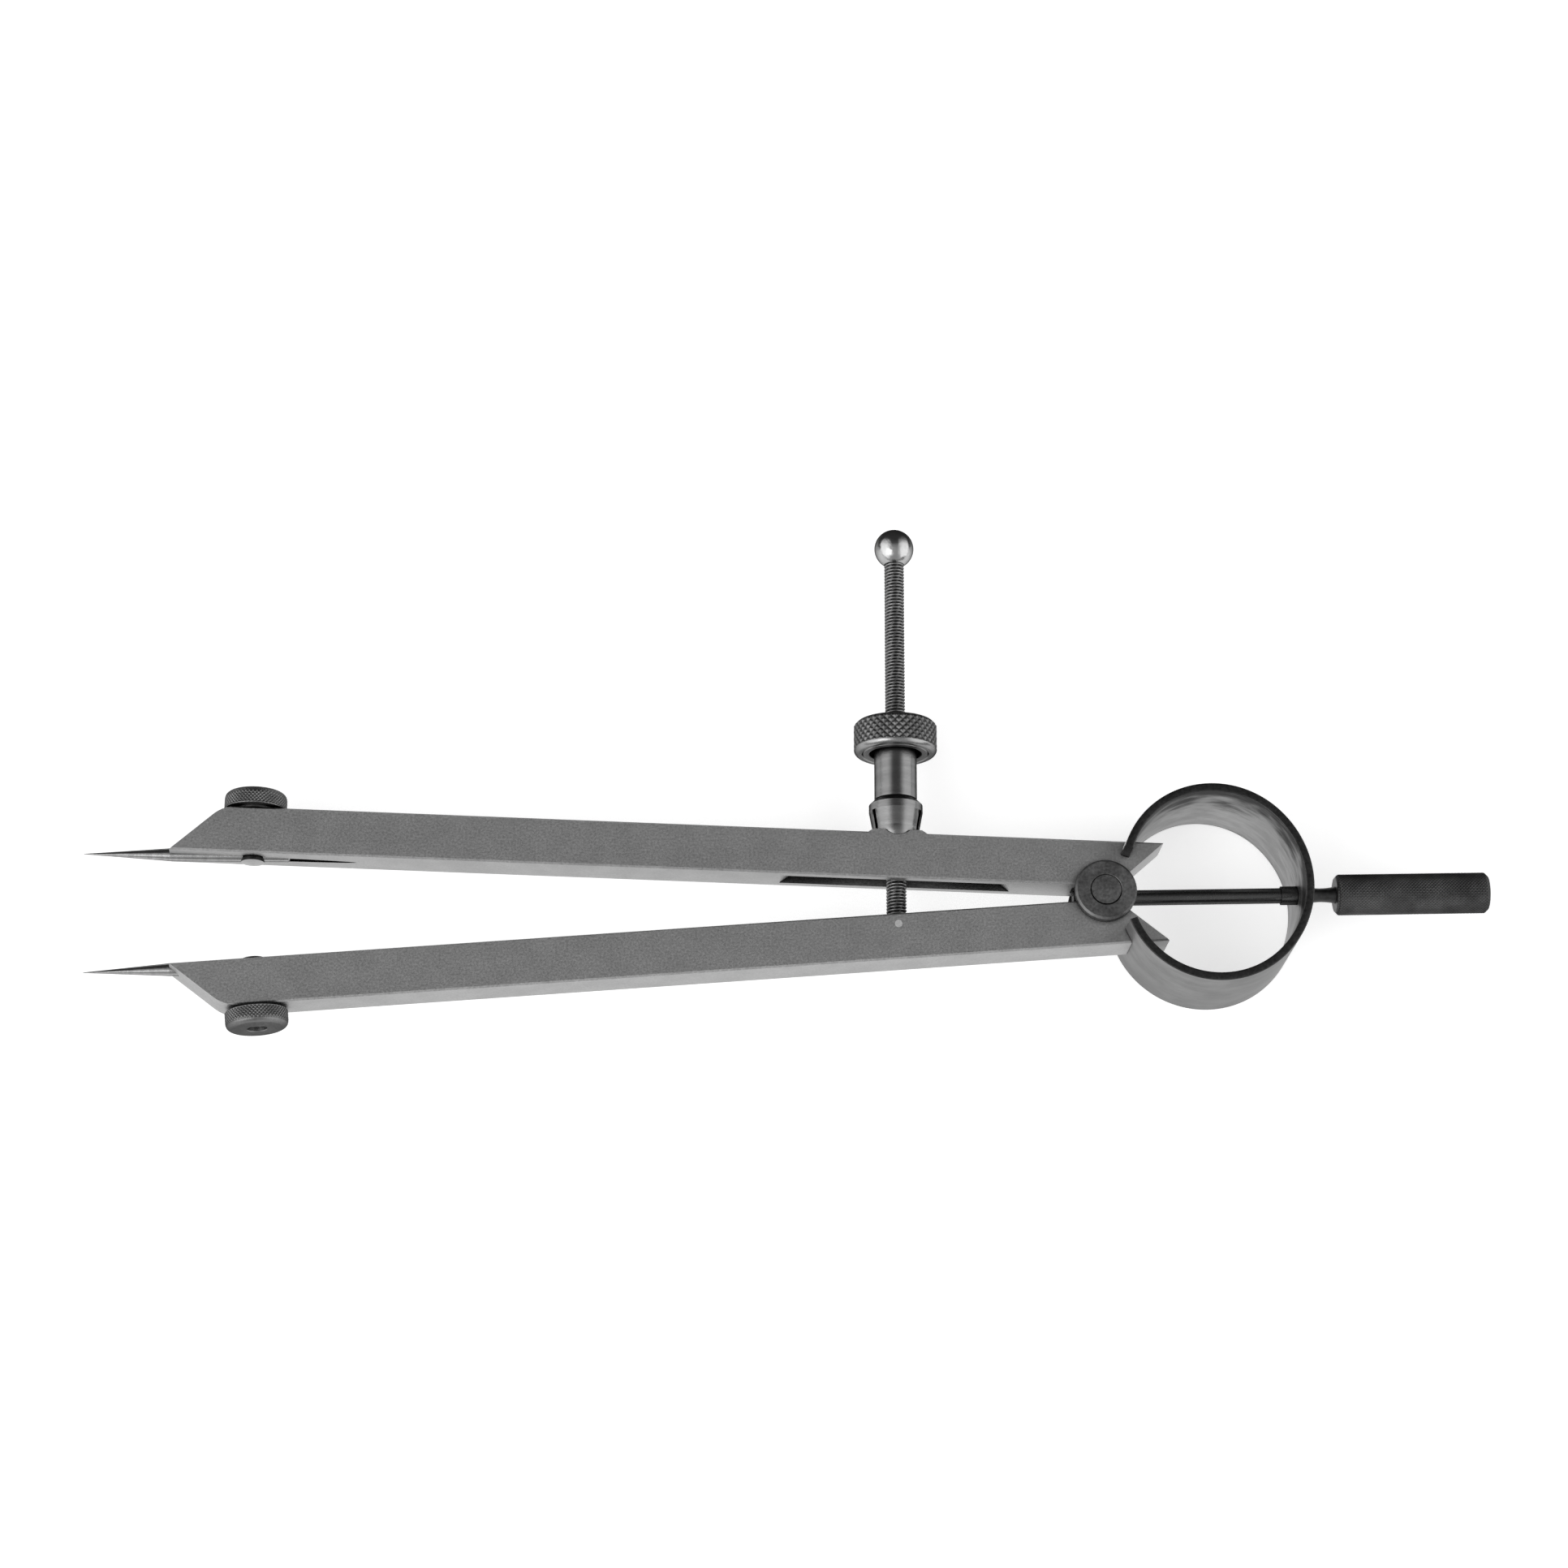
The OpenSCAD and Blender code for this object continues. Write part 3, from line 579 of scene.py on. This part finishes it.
def scale_at_front(tree, here, noise):
    """Dark scale of the heat treatment towards the strip's front edge, with an uneven border."""
    height = put(tree, "ShaderNodeSeparateXYZ", {0: here}).outputs["Z"]
    uneven = spread_to(tree, noise, -SCALE_MM * MM, SCALE_MM * MM)
    edge = put(tree, "ShaderNodeMath", {0: height, 1: uneven}, operation="ADD").outputs["Value"]
    return spread_to(tree, edge, 1.0, SCALE_TONE, True, SCALE_FROM * MM, SCALE_TO * MM)


def painted_side_shade(tree, here, noise):
    """Painted shade where a surface looks across the clamp's axis, and none on the dome and the stud's end."""
    normal = put(tree, "ShaderNodeTexCoord").outputs["Normal"]
    facing = put(tree, "ShaderNodeSeparateXYZ", {0: normal}).outputs["Y"]
    along = put(tree, "ShaderNodeMath", {0: facing}, operation="ABSOLUTE").outputs["Value"]
    return spread_to(tree, along, SIDE_SHADE_TONE, 1.0, True, SIDE_SHADE_FROM, SIDE_SHADE_TO)


def painted_slot_shade(tree, here, noise):
    """Painted shade deep in the slots of a piece, by how much of the view out the piece itself takes away."""
    reach = {"Distance": SLOT_SHADE_MM * MM}
    own = put(tree, "ShaderNodeAmbientOcclusion", reach, samples=AO_SAMPLES, only_local=True)
    return spread_to(tree, own.outputs["AO"], SLOT_SHADE_TONE, 1.0, True, SLOT_SHADE_FROM, SLOT_SHADE_TO)


# %% The finishes of this tool
RINGS, STREAKS, GROUND = (0.2, 5, 0.2), (0.35, 0.35, 1), (6, 1, 1)
looks = {
    # the legs get painted shade deep in their slots
    "leg_steel": dict(tone=0.455, rough=0.5, grain=0.32, spread=0.28, clouds=0.05, scale_and_shade=painted_slot_shade),
    "fulcrum_steel": dict(tone=0.185, rough=0.48, grain=0.4, spread=0.4, rim=0.3, clouds=0.3),
    "handle_steel": dict(tone=0.125, rough=0.36, grain=0.3, spread=0.35, rim=0.3, clouds=0.3),
    "spring_steel": dict(
        tone=0.32, rough=0.38, grain=0.4, spread=0.2, rim=0.6, cloud=2.5, clouds=0.12, stretch=STREAKS
    ),
    "point_steel": dict(tone=0.45, rough=0.22, grain=0.2, spread=0.15, rim=0.05, stretch=GROUND),
    "knurled_steel": dict(tone=0.23, rough=0.4, grain=0.3, spread=0.25, rim=0.2),
    "screw_steel": dict(tone=0.32, rough=0.38, grain=0.2, spread=0.25, rim=0.2),
    "bright_steel": dict(tone=0.27, rough=0.22, grain=0.2, spread=0.2, rim=0.1, stretch=RINGS),
    "polished_steel": dict(tone=0.52, rough=0.2, grain=0.8, spread=0.08, rim=0.2),
    "edge_steel": dict(tone=0.065, rough=0.4, grain=0.4, spread=0.4),
    "scale_steel": dict(
        tone=0.44, rough=0.38, grain=0.4, spread=0.2, rim=0.5, cloud=2.0, clouds=0.15, stretch=STREAKS,
        scale_and_shade=scale_at_front,
    ),
    "stem_steel": dict(tone=0.135, rough=0.26, grain=0.25, spread=0.2, rim=0.3),
    # the studs get painted shade on their sides
    "stud_steel": dict(tone=0.4, rough=0.3, grain=0.2, spread=0.15, scale_and_shade=painted_side_shade),
    "pin_steel": dict(tone=0.7, rough=0.6, grain=0.2, spread=0.15),
    "lip_steel": dict(tone=0.36, rough=0.26, grain=0.2, spread=0.15, rim=0.05),
}
finishes = {name: steel(name, **look) for name, look in looks.items()}

# %% Give every node and piece its finish
slots = {part["node"]: part["material_slot"] for part in frame["record"]["subparts"]}
for name, slot in {**slots, **piece_slots}.items():
    mesh = bpy.data.objects[name].data
    mesh.materials.clear()
    mesh.materials.append(finishes[slot])
own_finishes = {
    "upper_clamp_stud": "stud_steel",
    "lower_clamp_stud": "stud_steel",
    "fulcrum_stem": "stem_steel",
    "screw_anchor_pin": "pin_steel",
}
for node, finish in own_finishes.items():
    frame["nodes"][node].data.materials[0] = finishes[finish]

# %% [markdown]
# Some pieces wear more than one finish. The strip's cut edges are nearly black, and its inside keeps the dark
# scale of the heat treatment. Columns of the grid run round the section, so the column tells the finish. On
# the nut's head the rows tell which faces belong to the bright lip. The handle's neck is darker than its
# grip, and there the place of each face tells it.

# %% More finishes on one piece
OUTSIDE, CUT_EDGE, INSIDE = 0, 1, 2
LIP_RING_ROWS = 5


def finish_faces(piece, names, index):
    """Adds finishes to a piece and sets which one each face wears."""
    for name in names:
        piece.data.materials.append(finishes[name])
    piece.data.polygons.foreach_set("material_index", index.astype(np.int32))


round_section = np.full(len(section), CUT_EDGE)
round_section[[len(section) // 2 - 1, -1]] = [INSIDE, OUTSIDE]
for half in halves:
    columns = np.resize(round_section, len(half.data.polygons))
    finish_faces(half, ["edge_steel", "scale_steel"], columns)
head_rows = np.arange(len(head_mesh.polygons)) // head_cols
on_lip = (head_rows > len(inside) - LIP_RING_ROWS) & (head_rows < len(inside) + len(lip) - 1)
finish_faces(head, ["lip_steel"], on_lip)
centers = np.zeros(3 * len(grip_mesh.polygons))
grip_mesh.polygons.foreach_get("center", centers)
finish_faces(grip, ["edge_steel"], centers[::3] < (grip_low + EDGE) * MM)
print("finishes:", len(bpy.data.materials))

# %% [markdown]
# ## The stage
#
# The photo has a pure white ground. So the floor is a pale matt sheet, and what the camera sees of it is
# lifted to white, with a soft shadow left close to the tool. Steel sees a white sheet that ends just behind
# the tool and gets darker further away. The sky does what a light tent does: it is bright at both sides, dim
# in front and dark behind the tool, which gives round steel its dark middle between two bright flanks.

# %% Floor
FLOOR_GAP, FLOOR_HALF = 0.05, 3.0
PALE, FLOOR_ROUGH, LIFT = 0.85, 0.9, 0.62
NEAR_GLOW, FAR_GLOW, NEAR_M, FAR_M = 0.95, 0.12, 0.1, 0.6
SHEET_END, SHEET_FADE, BEYOND = 0.045, 0.03, 0.04
floor_z = cad_box[0][2] - FLOOR_GAP * MM
square = [(-1, -1), (1, -1), (1, 1), (-1, 1)]
floor_mesh = bpy.data.meshes.new("floor")
floor_mesh.from_pydata([(FLOOR_HALF * x, FLOOR_HALF * y, floor_z) for x, y in square], [], [(0, 1, 2, 3)])
floor = bpy.data.objects.new("floor", floor_mesh)
bpy.context.scene.collection.objects.link(floor)
print("floor height, mm:", round(floor_z / MM, 2))

# %% The floor's white
floor_mat = bpy.data.materials.new("floor_white")
floor_mat.use_nodes = True
floor_mat.cycles.emission_sampling = "NONE"
tree = floor_mat.node_tree
sheet = tree.nodes["Principled BSDF"]
sheet.inputs["Base Color"].default_value = (PALE, PALE, PALE, 1)
sheet.inputs["Roughness"].default_value = FLOOR_ROUGH
matt = sheet.outputs["BSDF"]
rays = put(tree, "ShaderNodeLightPath").outputs
here = put(tree, "ShaderNodeTexCoord").outputs["Object"]
reach = put(tree, "ShaderNodeVectorMath", {0: here}, operation="LENGTH").outputs["Value"]
fade = spread_to(tree, reach, NEAR_GLOW, FAR_GLOW, True, NEAR_M, FAR_M)
away = put(tree, "ShaderNodeSeparateXYZ", {0: here}).outputs["Y"]
fade = times(tree, fade, spread_to(tree, away, 1.0, BEYOND, True, SHEET_END, SHEET_END + SHEET_FADE))
glow = put(tree, "ShaderNodeEmission", {"Strength": fade}).outputs["Emission"]
lift = put(tree, "ShaderNodeEmission", {"Strength": LIFT}).outputs["Emission"]
white = put(tree, "ShaderNodeAddShader", {0: matt, 1: lift}).outputs[0]
shiny = put(tree, "ShaderNodeMixShader", {"Fac": rays["Is Glossy Ray"], 1: matt, 2: glow}).outputs[0]
seen = put(tree, "ShaderNodeMixShader", {"Fac": rays["Is Camera Ray"], 1: shiny, 2: white}).outputs[0]
tree.links.new(seen, tree.nodes["Material Output"].inputs["Surface"])
floor_mesh.materials.append(floor_mat)

# %% Sky
SKY_FRONT, SKY_BACK, SKY_SIDE = 0.42, 0.04, 1.1
FRONT_Y, SIDE_X, SIDE_Y = (-0.45, 0.6), (0.3, 0.7), (0.3, 0.85)
world = bpy.data.worlds.new("tent")
world.use_nodes = True
bpy.context.scene.world = world
tree = world.node_tree
aim = put(tree, "ShaderNodeSeparateXYZ", {0: put(tree, "ShaderNodeTexCoord").outputs["Generated"]})
aside = put(tree, "ShaderNodeMath", {0: aim.outputs["X"]}, operation="ABSOLUTE").outputs["Value"]
front = spread_to(tree, aim.outputs["Y"], SKY_FRONT, SKY_BACK, True, *FRONT_Y)
sides = spread_to(tree, aside, 0.0, SKY_SIDE, True, *SIDE_X)
sides = times(tree, sides, spread_to(tree, aim.outputs["Y"], 1.0, 0.0, True, *SIDE_Y))
light = put(tree, "ShaderNodeMath", {0: front, 1: sides}, operation="ADD").outputs["Value"]
tree.links.new(light, tree.nodes["Background"].inputs["Color"])

# %% One soft lamp, turned towards the pivot
LAMP_AT, LAMP_SIZE, LAMP_WATTS = np.array([-0.6, -0.5, 0.7]), 0.6, 2
soft = bpy.data.lights.new("soft_left", "AREA")
soft.size = LAMP_SIZE
soft.energy = LAMP_WATTS
place(bpy.data.objects.new("soft_left", soft), np.array([1.0, 0.0, 0.0]), LAMP_AT - pivot, LAMP_AT)
bpy.context.scene.view_settings.view_transform = "Standard"
